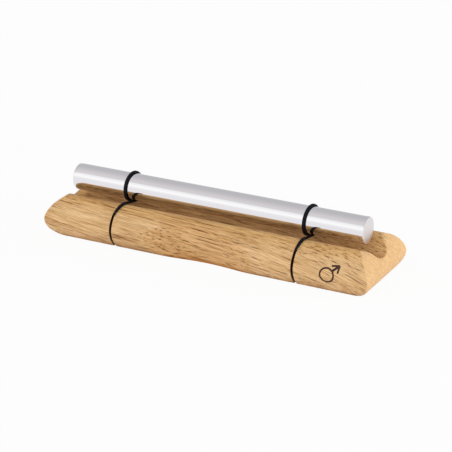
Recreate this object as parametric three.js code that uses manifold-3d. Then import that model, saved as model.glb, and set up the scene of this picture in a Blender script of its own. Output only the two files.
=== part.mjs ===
// A hand-held chime bar: a solid metal rod hangs in two elastic cords over a trough in a wooden base.
// Each cord is a figure of eight: round the rod, across under it, over the lips of the trough, down a
// kerf in each side of the base and through a groove underneath, where its two ends are knotted.
// Millimetres. +X runs along the rod, +Y to the back and +Z up. The origin is under the base's middle.

import * as THREE from "three";
import { mergeVertices } from "three/addons/utils/BufferGeometryUtils.js";
import Module from "manifold-3d";

const wasm = await Module();
wasm.setup();

// The wooden base. Its four sides are noses: widest at the waist, tucked in below, rounded over above.
const baseLength = 167.5;
const baseWidth = 44.6;
const baseHeight = 19.2;
const waistHeight = 8.6;
const sideTuck = 4.5;
const endTuck = 4.9;
const sideNose = 11.8;
const endNose = 8.7;
const sideNosePower = 1.88;
const endNosePower = 1.56;
const tuckPower = 2;

// The trough under the rod, routed from end to end. Its lips are well rounded: each is one arc that runs
// smoothly out of the trough's own arc and onto the nose, this far in from the base's widest line.
const troughRadius = 9.2;
const troughDepth = 6.1;
const lipInset = 8.8;

// The finger recess in the middle of each long side, cut by an upright drum.
const recessRadius = 86;
const recessDepth = 5.2;

// The rod. It floats over the trough's floor, and has crept a little to the left in its cords.
const rodDiameter = 12.7;
const rodLength = 151;
const rodFloat = 4.75;
const rodChamfer = 0.5;
const rodCreep = -1.5;

// The elastic cords, their places along the base and the kerfs and grooves that hold them.
const cordDiameter = 1.4;
const cordSpacing = 94;
const leftLoopDrift = 0.6;
const rightLoopDrift = -0.3;
const cordRest = 0.3;
const kerfDrop = 2.5;
const kerfSideGap = 0.15;
const kerfFootInset = 2.4;
const grooveDepth = 2.4;
const grooveEase = 2;
const crossingGap = 0.6;
const loopTail = 0.6;
const splitGap = 0.3;

// The knot that joins a cord's ends, in its pocket under the base.
const knotDiameter = 3.6;
const knotLift = 0.4;
const pocketDiameter = 7;
const pocketDepth = 4.6;

// How far a cutter runs past what it cuts.
const overrun = 2;

// How finely the curves are cut into flats.
const noseSteps = 10;
const tuckSteps = 4;
const seatSteps = 3;
const rodSides = 48;
const drumSides = 216;
const troughSteps = 12;
const lipSteps = 8;
const lipWrapSteps = 3;
const pocketSides = 24;
const cordSides = 8;
const wrapSteps = 34;
const bandSteps = 96;
const knotSides = 12;

// The share of a nose's way that counts as one small step.
const wayStep = 1e-5;

// Sizes that follow from the ones above.
const baseTop = baseHeight;
const halfWidth = baseWidth / 2;
const halfLength = baseLength / 2;
const troughFloor = baseTop - troughDepth;
const troughAxisHeight = troughFloor + troughRadius;
const rodRadius = rodDiameter / 2;
const rodHeight = troughFloor + rodFloat + rodRadius;
const cordRadius = cordDiameter / 2;
const cordLift = cordRest + cordRadius;
const wrapRadius = rodRadius + cordLift;
const crossingShift = (cordDiameter + crossingGap) / 2;
const kerfTop = baseTop - kerfDrop;
const kerfWidth = cordDiameter + 2 * kerfSideGap;

const wood = new THREE.MeshStandardMaterial({ color: 0xcf9f68, roughness: 0.55, metalness: 0 });
const polishedMetal = new THREE.MeshStandardMaterial({ color: 0xdcdde0, roughness: 0.08, metalness: 1 });
const blackElastic = new THREE.MeshStandardMaterial({ color: 0x14151a, roughness: 0.75, metalness: 0 });

// A closed geometry as a solid, and a solid as a geometry.
function toSolid(geometry) {
  const bare = geometry.index ? geometry.clone() : geometry;
  bare.deleteAttribute("normal");
  bare.deleteAttribute("uv");
  const merged = mergeVertices(bare);
  const vertProperties = merged.attributes.position.array;
  const triVerts = new Uint32Array(merged.index.array);
  return new wasm.Manifold(new wasm.Mesh({ numProp: 3, vertProperties, triVerts }));
}

function toGeometry(solid) {
  const mesh = solid.getMesh();
  const geometry = new THREE.BufferGeometry();
  geometry.setAttribute("position", new THREE.BufferAttribute(mesh.vertProperties, mesh.numProp));
  geometry.setIndex(new THREE.BufferAttribute(mesh.triVerts, 1));
  const faceted = geometry.toNonIndexed();
  faceted.computeVertexNormals();
  return faceted;
}

// An outline given across the base (y, z), pushed along x, or given along it (x, z), pushed along y.
const acrossBase = new THREE.Matrix4().makeBasis(
  new THREE.Vector3(0, 1, 0),
  new THREE.Vector3(0, 0, 1),
  new THREE.Vector3(1, 0, 0),
);
const alongBase = new THREE.Matrix4().makeBasis(
  new THREE.Vector3(1, 0, 0),
  new THREE.Vector3(0, 0, 1),
  new THREE.Vector3(0, -1, 0),
);

function pushedOutline(points, depth, facing) {
  const geometry = new THREE.ExtrudeGeometry(new THREE.Shape(points), { depth, bevelEnabled: false });
  geometry.translate(0, 0, -depth / 2);
  return toSolid(geometry.applyMatrix4(facing));
}

// A point on a nose, as a distance in from its widest line and a height. way runs from 0 at the top
// edge through 1 at the waist to 2 at the bottom edge.
function nosePoint(way, nose, power, tuck) {
  if (way <= 1) {
    const turn = ((1 - way) * Math.PI) / 2;
    const inset = nose * (1 - Math.cos(turn) ** (2 / power));
    const height = waistHeight + (baseTop - waistHeight) * Math.sin(turn) ** (2 / power);
    return { inset, height };
  }
  const fall = way - 1;
  return { inset: tuck * fall ** tuckPower, height: waistHeight * (1 - fall) };
}

// The ways down a nose at which its outline has a point.
function noseWays(first) {
  const ways = [];
  for (let i = 0; i <= noseSteps; i++) ways.push(first + ((1 - first) * i) / noseSteps);
  for (let i = 1; i <= tuckSteps; i++) ways.push(1 + i / tuckSteps);
  return ways;
}

function mirrored(points) {
  return points.map((p) => new THREE.Vector2(-p.x, p.y)).reverse();
}

// A point (y, z) on the skin of the base's back side.
function sidePoint(way) {
  const { inset, height } = nosePoint(way, sideNose, sideNosePower, sideTuck);
  return new THREE.Vector2(halfWidth - inset, height);
}

// The arc of the back lip: where it meets the nose, as a point and a way, which way it faces there, its
// radius and its centre. It is drawn so that it also touches the trough's arc.
function lipArc() {
  const rise = baseTop - waistHeight;
  const inShare = 1 - lipInset / sideNose;
  const upShare = (1 - inShare ** sideNosePower) ** (1 / sideNosePower);
  const meeting = new THREE.Vector2(halfWidth - lipInset, waistHeight + rise * upShare);
  const facing = new THREE.Vector2(
    inShare ** (sideNosePower - 1) / sideNose,
    upShare ** (sideNosePower - 1) / rise,
  ).normalize();
  const fromAxis = meeting.clone().sub(new THREE.Vector2(0, troughAxisHeight));
  const radius = (fromAxis.lengthSq() - troughRadius ** 2) / (2 * (troughRadius + facing.dot(fromAxis)));
  const centre = meeting.clone().addScaledVector(facing, -radius);
  return { way: wayAtHeight(meeting.y), facing, radius, centre };
}

function wayAtHeight(height) {
  let [above, below] = [0, 2];
  while (below - above > wayStep) {
    const middle = (above + below) / 2;
    if (sidePoint(middle).y > height) above = middle;
    else below = middle;
  }
  return below;
}

// What a cord lies on, from the end of the lip's arc to the middle of the groove underneath, as points
// (y, z) on the back half. Down to kerfTop it is the wood's skin. Then comes the kerf's floor, straight
// as a saw leaves it, and an eased corner into the groove.
function seatLine() {
  const kerfStart = wayAtHeight(kerfTop);
  const { way } = lipArc();
  const skin = [];
  for (let i = 0; i < seatSteps; i++) skin.push(sidePoint(way + ((kerfStart - way) * i) / seatSteps));
  const mouth = sidePoint(kerfStart);
  const foot = new THREE.Vector2(halfWidth - sideTuck - kerfFootInset, grooveDepth);
  const up = mouth.clone().sub(foot).normalize();
  const kerf = [mouth, mouth.clone().lerp(foot, 0.5), foot.clone().addScaledVector(up, grooveEase)];
  const grooveStart = new THREE.Vector2(foot.x - grooveEase, grooveDepth);
  return { skin, kerf, grooveStart };
}

// The kerfs and the groove under one cord, cut as one slot that leaves the base's core standing.
function cordSlot(x) {
  const { kerf, grooveStart } = seatLine();
  const back = [...kerf, grooveStart];
  const out = halfWidth + overrun;
  const around = [
    new THREE.Vector2(-out, kerfTop),
    new THREE.Vector2(-out, -overrun),
    new THREE.Vector2(out, -overrun),
    new THREE.Vector2(out, kerfTop),
  ];
  const outline = [...back, ...mirrored(back), ...around];
  return pushedOutline(outline, kerfWidth, acrossBase).translate([x, 0, 0]);
}

function arcPoints(centreX, centreY, radius, from, to, steps) {
  const points = [];
  for (let i = 0; i <= steps; i++) {
    const turn = from + ((to - from) * i) / steps;
    points.push(new THREE.Vector2(centreX + radius * Math.cos(turn), centreY + radius * Math.sin(turn)));
  }
  return points;
}

// The base seen from an end: the trough's arc, the lips' arcs and the side noses.
function sectionOutline() {
  const { way, facing, radius, centre } = lipArc();
  const lipTurn = Math.atan2(troughAxisHeight - centre.y, centre.x);
  const straightDown = -Math.PI / 2;
  const floor = arcPoints(0, troughAxisHeight, troughRadius, straightDown, -lipTurn, troughSteps);
  const lip = arcPoints(centre.x, centre.y, radius, Math.PI - lipTurn, facing.angle(), lipSteps);
  const nose = noseWays(way).map(sidePoint);
  const right = [...floor, ...lip.slice(1), ...nose.slice(1)];
  return [...right, ...mirrored(right.slice(1))];
}

// The base seen from a side: the end noses.
function profileOutline() {
  const right = noseWays(0).map((way) => {
    const { inset, height } = nosePoint(way, endNose, endNosePower, endTuck);
    return new THREE.Vector2(halfLength - inset, height);
  });
  return [...right, ...mirrored(right)];
}

function uprightCutter(radius, sides, low, high) {
  const cutter = new THREE.CylinderGeometry(radius, radius, high - low, sides);
  cutter.rotateX(Math.PI / 2);
  return toSolid(cutter.translate(0, 0, (low + high) / 2));
}

function baseSolid() {
  const drum = uprightCutter(recessRadius, drumSides, -overrun, baseTop + overrun);
  const drumOffset = halfWidth - recessDepth + recessRadius;
  const pocket = uprightCutter(pocketDiameter / 2, pocketSides, -overrun, pocketDepth);
  let solid = pushedOutline(sectionOutline(), baseLength, acrossBase).intersect(
    pushedOutline(profileOutline(), baseWidth, alongBase),
  );
  for (const side of [-1, 1]) solid = solid.subtract(drum.translate([0, side * drumOffset, 0]));
  for (const x of [-cordSpacing / 2, cordSpacing / 2]) {
    solid = solid.subtract(cordSlot(x)).subtract(pocket.translate([x, 0, 0]));
  }
  return solid;
}

function rodGeometry() {
  const half = rodLength / 2;
  const profile = [
    new THREE.Vector2(0, -half),
    new THREE.Vector2(rodRadius - rodChamfer, -half),
    new THREE.Vector2(rodRadius, -half + rodChamfer),
    new THREE.Vector2(rodRadius, half - rodChamfer),
    new THREE.Vector2(rodRadius - rodChamfer, half),
    new THREE.Vector2(0, half),
  ];
  return new THREE.LatheGeometry(profile, rodSides);
}

// The straight stretch of cord between the rod's underside and the lip, in the plane across the base:
// it touches the circle that the cord's middle follows round the rod and the one it follows round the lip.
function strandAcross() {
  const { radius, centre } = lipArc();
  const rod = new THREE.Vector2(0, rodHeight);
  const lipWrapRadius = radius + cordLift;
  const reach = centre.distanceTo(rod);
  const slope = Math.asin((wrapRadius + lipWrapRadius) / reach) + Math.atan2(centre.y - rod.y, centre.x);
  const down = new THREE.Vector2(Math.sin(slope), -Math.cos(slope));
  const atRod = rod.clone().addScaledVector(down, wrapRadius);
  const atLip = centre.clone().addScaledVector(down, -lipWrapRadius);
  return { slope, atRod, atLip };
}

// The cord's middle over the back lip, from the end of the straight stretch to the start of the nose.
function lipWrap() {
  const { facing, radius, centre } = lipArc();
  const start = Math.PI / 2 + strandAcross().slope;
  return arcPoints(centre.x, centre.y, radius + cordLift, start, facing.angle(), lipWrapSteps);
}

// The same stretch in space. side is 1 at the back and -1 at the front. The strands pass side by side
// under the rod, so the front one is shifted to +X and the back one to -X.
function strandInSpace(side, drift) {
  const { atRod, atLip } = strandAcross();
  const x = drift - side * crossingShift;
  const start = new THREE.Vector3(x, side * atRod.x, atRod.y);
  const end = new THREE.Vector3(x, side * atLip.x, atLip.y);
  const along = end.clone().sub(start).normalize();
  return { start, end, along };
}

function tube(points, steps) {
  const section = new THREE.Shape();
  for (let i = 0; i < cordSides; i++) {
    const turn = (2 * Math.PI * i) / cordSides;
    const corner = [cordRadius * Math.cos(turn), cordRadius * Math.sin(turn)];
    if (i === 0) section.moveTo(...corner);
    else section.lineTo(...corner);
  }
  const extrudePath = new THREE.CatmullRomCurve3(points, false, "centripetal");
  return new THREE.ExtrudeGeometry(section, { steps, extrudePath });
}

// The upper part of a cord: in from the front under the rod, up behind it, over, down in front and out
// under it to the back.
function loopGeometry(drift) {
  const { slope } = strandAcross();
  const overlap = 2 * slope;
  const fullTurn = 2 * Math.PI;
  const underRod = -Math.PI / 2;
  const startTurn = underRod - slope;
  const wrap = fullTurn + overlap;
  const points = [];
  for (let i = 0; i <= wrapSteps; i++) {
    const turned = (wrap * i) / wrapSteps;
    const passed = THREE.MathUtils.clamp((turned - overlap) / (wrap - 2 * overlap), 0, 1);
    const turn = startTurn + turned;
    points.push(
      new THREE.Vector3(
        drift + crossingShift * (1 - 2 * passed),
        wrapRadius * Math.cos(turn),
        rodHeight + wrapRadius * Math.sin(turn),
      ),
    );
  }
  const front = strandInSpace(-1, drift);
  const back = strandInSpace(1, drift);
  points.unshift(front.start.clone().addScaledVector(front.along, loopTail));
  points.push(back.start.clone().addScaledVector(back.along, loopTail));
  return tube(points, 2 * wrapSteps);
}

// The corner of a seat line, moved out to where the middle of a cord that lies on both its sides runs.
function liftedCorner(before, corner, after) {
  const along = corner.clone().sub(before).normalize();
  const onwards = after.clone().sub(corner).normalize();
  const outward = along.clone().add(onwards).multiplyScalar(cordLift / (1 + along.dot(onwards)));
  return new THREE.Vector2(corner.x - outward.y, corner.y + outward.x);
}

// Half of the lower part of a cord, from beside the rod over the lip and down to the middle underneath.
// Its shift along the base dies out between the lip and the kerf, which takes hold of it.
function halfBand(side, drift) {
  const { start, end, along } = strandInSpace(side, drift);
  const { skin, kerf, grooveStart } = seatLine();
  const seat = [...skin, ...kerf, grooveStart, new THREE.Vector2(0, grooveDepth)];
  const overLip = lipWrap();
  const lifted = [...overLip];
  for (let i = 1; i < seat.length - 1; i++) lifted.push(liftedCorner(seat[i - 1], seat[i], seat[i + 1]));
  lifted.push(new THREE.Vector2(grooveStart.x / 2, grooveDepth - cordLift));
  const heldFrom = overLip.length + skin.length - 1;
  const inSpace = lifted.map((p, i) => {
    const free = Math.max(0, 1 - i / heldFrom);
    return new THREE.Vector3(start.x * free, side * p.x, p.y);
  });
  const first = start.clone().addScaledVector(along, loopTail + splitGap);
  const halfWay = first.clone().lerp(end, 0.5);
  return [first, halfWay, ...inSpace];
}

// The lower part of a cord: one length of tube held round the base, with the knot under its middle.
function bandSolid(drift) {
  const front = halfBand(-1, drift);
  const back = halfBand(1, drift).reverse();
  const knotHeight = knotLift + knotDiameter / 2;
  const knot = new THREE.SphereGeometry(knotDiameter / 2, knotSides, knotSides / 2);
  knot.translate(0, 0, knotHeight);
  return toSolid(tube([...front, ...back], bandSteps)).add(toSolid(knot));
}

const chimeBar = new THREE.Group();

function addPiece(name, geometry, material) {
  const piece = new THREE.Mesh(geometry, material);
  piece.name = name;
  chimeBar.add(piece);
  return piece;
}

addPiece("wooden_base", toGeometry(baseSolid()), wood);

const rod = addPiece("sound_rod", rodGeometry(), polishedMetal);
rod.position.set(rodCreep, 0, rodHeight);
rod.rotation.z = -Math.PI / 2;

const cordPlaces = [
  { name: "left", x: -cordSpacing / 2, drift: leftLoopDrift },
  { name: "right", x: cordSpacing / 2, drift: rightLoopDrift },
];
for (const { name, x, drift } of cordPlaces) {
  addPiece(`${name}_loop`, loopGeometry(drift), blackElastic).position.x = x;
  addPiece(`${name}_band`, toGeometry(bandSolid(drift)), blackElastic).position.x = x;
}

export default chimeBar;
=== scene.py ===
"""A hand-held chime bar: a polished rod hung in two elastic cords over a trough in an oiled wooden base.

Named sizes are in millimetres and become metres where a mesh is made. +X runs along the rod, +Y to the
back and +Z up, with the origin under the middle of the base.
"""

import math

import bmesh
import bpy
import numpy as np
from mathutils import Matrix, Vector


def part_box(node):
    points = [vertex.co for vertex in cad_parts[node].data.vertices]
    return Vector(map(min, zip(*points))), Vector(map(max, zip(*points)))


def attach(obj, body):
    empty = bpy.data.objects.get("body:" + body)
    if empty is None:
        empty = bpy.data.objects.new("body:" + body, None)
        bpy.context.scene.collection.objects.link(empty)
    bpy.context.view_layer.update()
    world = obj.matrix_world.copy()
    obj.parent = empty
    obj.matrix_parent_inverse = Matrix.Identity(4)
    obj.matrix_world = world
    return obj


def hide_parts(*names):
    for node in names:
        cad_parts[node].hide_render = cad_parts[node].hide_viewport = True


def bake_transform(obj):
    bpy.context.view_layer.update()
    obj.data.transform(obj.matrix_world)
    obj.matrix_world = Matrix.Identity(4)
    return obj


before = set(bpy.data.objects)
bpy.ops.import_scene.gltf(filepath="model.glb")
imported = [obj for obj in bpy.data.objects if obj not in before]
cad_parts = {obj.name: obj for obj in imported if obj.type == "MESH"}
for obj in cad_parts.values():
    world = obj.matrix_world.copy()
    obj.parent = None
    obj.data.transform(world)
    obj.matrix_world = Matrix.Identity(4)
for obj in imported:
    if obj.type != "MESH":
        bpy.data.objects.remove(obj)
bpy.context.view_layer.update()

MM = 0.001

# The camera stands where the photograph was taken from.
CAMERA_EYE = (356.49, -671.72, 317.80)
CAMERA_AZIMUTH = 27.788
CAMERA_ELEVATION = 21.868
CAMERA_LENS = 140.47
SENSOR_WIDTH = 36.0

# The wooden base. Each side is a nose: widest at the waist, tucked in below, rounded over above.
base_low, base_high = (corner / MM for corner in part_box("wooden_base"))
HALF_LENGTH = base_high.x
HALF_WIDTH = base_high.y
TOP = 19.2
WAIST = 8.6
SIDE_TUCK = 4.5
END_TUCK = 4.6
SIDE_NOSE = 11.8
END_NOSE = 8.7
SIDE_NOSE_POWER = 1.88
END_NOSE_POWER = 1.5
NOSE_HEIGHT = TOP - WAIST
WAIST_CORNER = 0.7
FOOT_CORNER = 3.8
FOOT_CORNER_POWER = 5
CREASE_RADIUS = 0.25
TROUGH_END_EASE = 0.5
FOOT_EASE = 0.2

# The finger recess on each side, ground with a big drum that leaned: deeper at the foot than above the
# waist, and a little further along there. The drum's arc is followed this far to each side.
RECESS_RADIUS = 82.0
RECESS_DEPTH = 4.8
RECESS_FOOT_DEPTH = 6.35
RECESS_PLACE = -2.0
RECESS_FOOT_PLACE = 1.5
RECESS_EASE = 1.5
RECESS_REACH = 50.0

# The trough under the rod. Each lip is an arc that runs smoothly out of the trough's own arc and onto
# the side's nose, this far in from the widest line.
TROUGH_RADIUS = 9.2
TROUGH_DEPTH = 6.1
LIP_INSET = 8.8
TROUGH_AXIS = TOP - TROUGH_DEPTH + TROUGH_RADIUS

# The kerfs, the grooves underneath and the pockets for the knots.
KERF_PLACES = (-47.0, 47.0)
KERF_WIDTH = 1.36
KERF_DROP = 2.5
KERF_FOOT_INSET = 2.4
KERF_TOP = TOP - KERF_DROP
KERF_FOOT = HALF_WIDTH - SIDE_TUCK - KERF_FOOT_INSET
GROOVE_DEPTH = 2.4
GROOVE_EASE = 2.0
POCKET_DIAMETER = 7.0
POCKET_DEPTH = 4.6
CUTTER_OVERRUN = 2.0

# The sound rod, with the softening of the chamfer's two edges, how far the face falls before it, and how
# far along the side the first ring of points after it is.
rod_low, rod_high = (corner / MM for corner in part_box("sound_rod"))
ROD_RADIUS = (rod_high.z - rod_low.z) / 2
ROD_HEIGHT = (rod_high.z + rod_low.z) / 2
ROD_LEFT = rod_low.x
ROD_RIGHT = rod_high.x
ROD_CHAMFER = 0.3
CHAMFER_EASE = 0.12
RIM_FALL = 0.02
SIDE_START = 2.0

# The elastic cords: half their width and half their thickness where they are pressed flat on the rod,
# laid over the wood, and squeezed into the kerf.
ON_ROD = (0.74, 0.52)
ON_WOOD = (0.82, 0.58)
IN_KERF = (0.52, 0.66)
CORD_REST = 0.03
# Each loop drifts a little along the rod. Its two sides cross under the rod and come down beside the
# kerf. From there the cord goes straight over the wood and reaches the kerf's middle this far on, where
# it is squeezed to the kerf's width.
CROSSING_SHIFT = 1.15
LOOP_LEAN = 1.6
LOOP_DRIFTS = (0.3, -0.8)
LIP_SHIFTS = ((1.8, 1.0), (0.95, 1.9))
SHIFT_RUN = 12.4
SQUEEZE_START = 4.2
SQUEEZE_END = 8.6


def open_scene():
    """The scene, which shows colours as they are."""
    scene = bpy.context.scene
    scene.view_settings.view_transform = "Standard"
    return scene


def add_object(name, data):
    piece = bpy.data.objects.new(name, data)
    bpy.context.scene.collection.objects.link(piece)
    return piece


def aim(piece, direction):
    """Turns a camera or a lamp to look in a direction, upright."""
    piece.rotation_mode = "QUATERNION"
    piece.rotation_quaternion = direction.to_track_quat("-Z", "Y")


def place_camera(scene):
    data = bpy.data.cameras.new("camera")
    data.lens = CAMERA_LENS
    data.sensor_width = SENSOR_WIDTH
    camera = add_object("camera", data)
    around = math.radians(CAMERA_AZIMUTH)
    above = math.radians(CAMERA_ELEVATION)
    back = Vector(
        (math.sin(around) * math.cos(above), -math.cos(around) * math.cos(above), math.sin(above))
    )
    camera.location = Vector(CAMERA_EYE) * MM
    aim(camera, -back)
    scene.camera = camera


# Meshes and nodes

# Points this near each other become one. LEAST keeps the lengths that are divided by above zero.
WELD_REACH = 0.001
LEAST = 1e-9


def mesh_object(name, points, faces):
    """A smooth-shaded object at the origin, from points in millimetres."""
    mesh = bpy.data.meshes.new(name)
    mesh.from_pydata((np.asarray(points) * MM).tolist(), [], faces)
    mesh.update()
    piece = add_object(name, mesh)
    mesh.polygons.foreach_set("use_smooth", [True] * len(mesh.polygons))
    return piece


def ring_faces(rings, around, closed=False):
    """Quads that join rings of points, one after another, and the last to the first if closed."""
    faces = []
    for i in range(rings if closed else rings - 1):
        low = i * around
        high = (i + 1) % rings * around
        for j in range(around):
            after = (j + 1) % around
            faces.append((low + j, low + after, high + after, high + j))
    return faces


def end_faces(rings, around):
    """One face over the first ring and one over the last."""
    last = (rings - 1) * around
    return [tuple(range(around))[::-1], tuple(range(last, last + around))]


def path_lengths(points):
    """How far along a line each of its points is."""
    return np.r_[0, np.cumsum(np.linalg.norm(np.diff(points, axis=0), axis=1))]


def on_line(points, ways, at):
    """The points of a line at other places along it."""
    return np.array([np.interp(at, ways, column) for column in points.T]).T


def unit(vector):
    return vector / np.linalg.norm(vector)


def part_way(start, end, share):
    return start + (end - start) * share


def circle_turns(sides):
    return 2 * math.pi * np.arange(sides) / sides


def weld(piece):
    """Merges points that coincide and turns every face outwards."""
    mesh = bmesh.new()
    mesh.from_mesh(piece.data)
    bmesh.ops.remove_doubles(mesh, verts=mesh.verts, dist=WELD_REACH * MM)
    bmesh.ops.dissolve_degenerate(mesh, edges=mesh.edges, dist=WELD_REACH * MM)
    bmesh.ops.recalc_face_normals(mesh, faces=mesh.faces)
    mesh.to_mesh(piece.data)
    mesh.free()


def apply_modifiers(piece):
    """Replaces a piece's mesh by what its modifiers make of it."""
    depsgraph = bpy.context.evaluated_depsgraph_get()
    made = bpy.data.meshes.new_from_object(piece.evaluated_get(depsgraph))
    piece.modifiers.clear()
    old = piece.data
    piece.data = made
    bpy.data.meshes.remove(old)
    made.name = piece.name


def add_node(tree, kind, inputs=None, **settings):
    """A node with its settings and inputs. An input is a value or another node's socket."""
    node = tree.nodes.new(kind)
    for name, value in settings.items():
        setattr(node, name, value)
    for key, value in (inputs or {}).items():
        if isinstance(value, bpy.types.NodeSocket):
            tree.links.new(value, node.inputs[key])
        else:
            node.inputs[key].default_value = value
    return node


def maths(tree, operation, *values):
    """The result of a Math node."""
    return add_node(tree, "ShaderNodeMath", dict(enumerate(values)), operation=operation).outputs[0]


def product(tree, first, *others):
    """Several values multiplied."""
    for other in others:
        first = maths(tree, "MULTIPLY", first, other)
    return first


def vector_maths(tree, operation, *values):
    """The vector that a Vector Math node gives."""
    node = add_node(tree, "ShaderNodeVectorMath", dict(enumerate(values)), operation=operation)
    return node.outputs[0]


def split(tree, vector):
    """The X, Y and Z of a vector."""
    return add_node(tree, "ShaderNodeSeparateXYZ", {0: vector}).outputs


def ramped(tree, value, low, high, to_low=0.0, to_high=1.0):
    """A value eased from one range into another."""
    values = {"Value": value, "From Min": low, "From Max": high, "To Min": to_low, "To Max": to_high}
    node = add_node(tree, "ShaderNodeMapRange", values, interpolation_type="SMOOTHSTEP")
    return node.outputs["Result"]


def mixed(tree, share, first, second, blend="MIX"):
    """Two colours mixed by a share."""
    values = {0: share, 6: first, 7: second}
    return add_node(tree, "ShaderNodeMix", values, data_type="RGBA", blend_type=blend).outputs[2]


def colour(red, green, blue):
    """An sRGB colour, 0 to 255, as a linear one."""
    shares = [channel / 255 for channel in (red, green, blue)]
    linear = [s / 12.92 if s <= 0.04045 else ((s + 0.055) / 1.055) ** 2.4 for s in shares]
    return (*linear, 1.0)


def empty_tree(owner):
    """The node tree of a new material or world, cleared."""
    owner.use_nodes = True
    owner.node_tree.nodes.clear()
    return owner.node_tree


def new_material(name, inputs):
    """A material, its node tree and its shader, with the shader's even values set."""
    material = bpy.data.materials.new(name)
    tree = empty_tree(material)
    shader = add_node(tree, "ShaderNodeBsdfPrincipled", inputs)
    add_node(tree, "ShaderNodeOutputMaterial", {"Surface": shader.outputs[0]})
    return material, tree, shader


def mm_place(tree):
    """The place on the object in millimetres."""
    place = add_node(tree, "ShaderNodeTexCoord").outputs["Object"]
    return add_node(tree, "ShaderNodeVectorMath", {0: place, "Scale": 1 / MM}, operation="SCALE").outputs[0]


def noise(tree, place, length, width, detail, output="Fac"):
    """A noise drawn out to a length along X and a width across it."""
    place = vector_maths(tree, "MULTIPLY", place, (1 / length, 1 / width, 1 / width))
    values = {"Vector": place, "Scale": 1.0, "Detail": detail}
    return add_node(tree, "ShaderNodeTexNoise", values).outputs[output]


def attribute(tree, name):
    return add_node(tree, "ShaderNodeAttribute", attribute_name=name).outputs["Fac"]


# The wood

# How the fibres fall towards the right end, by powers of the place along the base, and how they lean back.
GRAIN_FALL_SHARES = (1.1e-5, 0.00067, 0.05)
GRAIN_LEAN_SHARE = 0.048
# The marks of the wood's figure: how long each is along the fibres, how wide across them, and how much
# finer detail it has. The fibres also sway, this far.
SWAY = (34.0, 7.0, 1.0)
SWAY_REACH = 0.9
BANDS = (140.0, 2.6, 3.0)
STREAKS = (16.0, 0.42, 1.0)
FIBRES = (4.5, 0.2, 1.0)
CLOUDS = (24.0, 9.0, 1.0)
# What each mark adds to the tone, and the tones between which the wood goes from dark to light.
TONE_SHARES = (0.2, 0.42, 0.28, 0.1)
TONE_SPAN = (0.34, 0.62)
# The year's layers are tilted, and change slowly along themselves.
LAYER_TILT = math.radians(-45)
LAYER_SHARE = 0.15
# How squarely a face has to cut the fibres to look like end grain.
END_GRAIN_SPAN = (0.35, 0.75)
END_TINT_SHARE = 0.5

# The vessels: how far apart they stand, their least and greatest radius, and how soft their edge is. The
# large ones stand in drifts, broken up along the fibres.
LARGE_VESSELS = (1.15, 0.09, 0.24, 0.03)
FINE_VESSELS = (0.62, 0.04, 0.13, 0.025)
DRIFTS = (70.0, 2.6, 1.0)
DRIFT_SPAN = (0.34, 0.54, 0.55, 1.0)
BREAKS = (6.0, 0.7, 1.0)
BREAK_SPAN = (0.4, 0.48)
# How dark each kind shows, how much of that end grain takes away, and how dark the edge round them is.
LARGE_SHARE = 0.85
LARGE_END_LOSS = 0.7
FINE_SHARE = 0.32
FINE_END_LOSS = 0.25
HALO_SHARE = 0.35

WOOD_LIGHT = colour(240, 202, 152)
WOOD_DARK = colour(190, 143, 88)
WOOD_END = colour(226, 184, 130)
WOOD_PORE = colour(106, 64, 34)
WOOD_HALO = colour(158, 106, 60)
# Painted shade inside the kerf.
KERF_PAINTED_SHADE = colour(64, 37, 20)
# Painted shade on the upper faces, darker and warmer than the sides.
UPPER_PAINTED_SHADE = colour(252, 243, 220)
RECESS_TINT = colour(243, 235, 223)
# Painted shade under the rod and painted shadow at the foot: across from the middle line, and up from
# below.
TROUGH_PAINTED_SHADE = colour(230, 215, 205)
TROUGH_SHADE_WIDTH = (1.0, 5.0)
TROUGH_SHADE_START = (11.0, 12.5)
FOOT_PAINTED_SHADOW = colour(214, 188, 148)
FOOT_SHADOW_HEIGHT = (0.2, 2.6)
WOOD_FINISH = {"Roughness": 0.55, "Specular IOR Level": 0.16}
FIBRE_RELIEF = 0.25
FIBRE_DEPTH = 0.1


def fibre_place(tree):
    """The place in the tree that the wood was cut from: x runs along the fibres, which fall a little
    towards the right end and sway."""
    parts = split(tree, mm_place(tree))
    fall = GRAIN_FALL_SHARES[0]
    for share in GRAIN_FALL_SHARES[1:]:
        fall = maths(tree, "MULTIPLY_ADD", parts["X"], fall, share)
    height = maths(tree, "MULTIPLY_ADD", parts["X"], fall, parts["Z"])
    across = maths(tree, "MULTIPLY_ADD", parts["X"], GRAIN_LEAN_SHARE, parts["Y"])
    straight = add_node(tree, "ShaderNodeCombineXYZ", {0: parts["X"], 1: across, 2: height}).outputs[0]
    sway = vector_maths(tree, "SUBTRACT", noise(tree, straight, *SWAY, output="Color"), (0.5, 0.5, 0.5))
    return vector_maths(tree, "MULTIPLY_ADD", sway, (0.0, SWAY_REACH, SWAY_REACH), straight)


def layer_place(tree, place):
    """The same place, with y across the year's layers and z along them, where wood changes slowly."""
    values = {"Vector": place, "Angle": LAYER_TILT}
    turned = add_node(tree, "ShaderNodeVectorRotate", values, rotation_type="X_AXIS").outputs[0]
    return vector_maths(tree, "MULTIPLY", turned, (1.0, 1.0, LAYER_SHARE))


def end_grain(tree):
    """How squarely a face cuts the fibres: 1 on the ends, 0 along the sides."""
    facing = add_node(tree, "ShaderNodeNewGeometry").outputs["Normal"]
    return ramped(tree, maths(tree, "ABSOLUTE", split(tree, facing)["X"]), *END_GRAIN_SPAN)


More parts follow.
